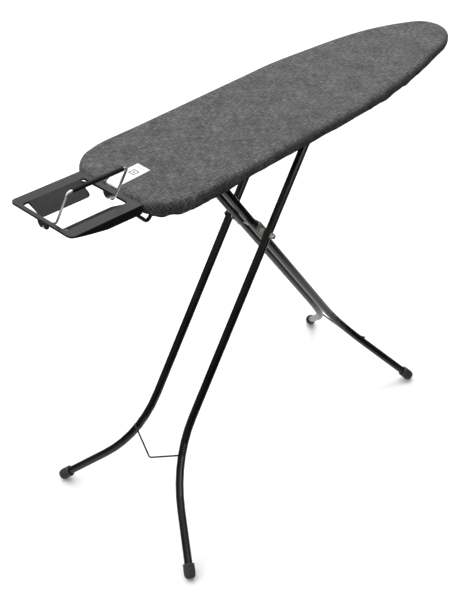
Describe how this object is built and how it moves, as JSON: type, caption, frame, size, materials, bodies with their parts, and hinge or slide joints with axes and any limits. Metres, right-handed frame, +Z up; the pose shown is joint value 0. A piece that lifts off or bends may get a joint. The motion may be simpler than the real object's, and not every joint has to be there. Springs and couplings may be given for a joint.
{
  "type": "ironing board",
  "caption": "Folding ironing board with a padded cover, scissor legs and a steam iron rest at its tail.",
  "frame": {"origin": "on the floor, under the middle of the overall length and width, with the board set up at its top height", "axes": "+X along the board to its nose, -X to the iron rest, +Y to the far side, +Z up"},
  "size_m": [1.2767, 0.4958, 1.059],
  "materials": {
    "charcoal_fabric": "dark grey woven cover",
    "grey_foam": "pad",
    "white_label": "smooth printed film",
    "satin_black_steel": "satin powder coat",
    "black_steel": "satin powder coat",
    "gloss_black_tube": "gloss powder coat",
    "black_plastic": "matt",
    "black_sleeve": "matt",
    "white_nylon": "matt",
    "zinc_plate": "zinc plated",
    "bright_wire": "bright"
  },
  "bodies": {
    "board": {"fabric_cover": "charcoal_fabric", "foam_pad": "grey_foam", "deck_panel": "black_steel", "deck_rim": "black_steel", "care_label": "white_label", "rest_frame": "satin_black_steel", "rest_rod_near": "black_steel", "rest_rod_far": "black_steel", "rod_clamp_near": "black_plastic", "rod_clamp_far": "black_plastic", "bail_clip_end": "black_plastic", "bail_clip_board": "black_plastic", "tail_bracket_near": "black_steel", "tail_bracket_far": "black_steel", "tail_hinge_pin": "zinc_plate", "slide_rail_near": "black_steel", "slide_rail_far": "black_steel", "lever_bracket": "black_steel", "lever_pivot_pin": "zinc_plate", "lever_return_spring": "bright_wire"},
    "inner_legs": {"inner_tube_near": "gloss_black_tube", "inner_tube_far": "gloss_black_tube", "inner_foot_near": "black_plastic", "inner_foot_far": "black_plastic", "inner_plug_near": "black_plastic", "inner_plug_far": "black_plastic", "inner_brace_wire": "black_steel", "pivot_bracket": "zinc_plate", "cross_bolt": "bright_wire", "cross_nut": "bright_wire", "pivot_spacer_near": "white_nylon", "pivot_spacer_far": "white_nylon"},
    "outer_legs": {"outer_tube_near": "gloss_black_tube", "outer_tube_far": "gloss_black_tube", "outer_foot_near": "black_plastic", "outer_foot_far": "black_plastic", "outer_plug_near": "black_plastic", "outer_plug_far": "black_plastic", "outer_brace_wire": "black_steel", "pivot_washer_near": "white_nylon", "pivot_washer_far": "white_nylon", "slide_axle": "zinc_plate", "roller_near": "white_nylon", "roller_far": "white_nylon"},
    "bail": {"bail_wire": "bright_wire", "bail_sleeve": "black_sleeve"},
    "height_lever": {"height_rack": "zinc_plate", "lever_rod": "zinc_plate", "lever_grip": "black_plastic"}
  },
  "joints": [
    {"name": "fold", "type": "hinge", "parent": "board", "child": "inner_legs", "pos_m": [-0.23487, 0, 0.932], "axis": [0, -1, 0], "range_deg": [0, 49.65]},
    {"name": "scissor", "type": "hinge", "parent": "inner_legs", "child": "outer_legs", "pos_m": [-0.0598, 0, 0.6852], "axis": [0, -1, 0], "range_deg": [-99.31, 0]},
    {"name": "bail_fold", "type": "hinge", "parent": "board", "child": "bail", "pos_m": [-0.55417, -0.0095, 0.95676], "axis": [-0.9986, 0, 0.0523], "range_deg": [0, 112]},
    {"name": "lever_squeeze", "type": "hinge", "parent": "board", "child": "height_lever", "pos_m": [0.487, 0.044, 0.9435], "axis": [0, 1, 0], "range_deg": [-1.2, 1.2], "deforming": ["lever_return_spring"]}
  ],
  "couplings": [
    {"joint": "scissor", "follows": "fold", "ratio": -2}
  ]
}
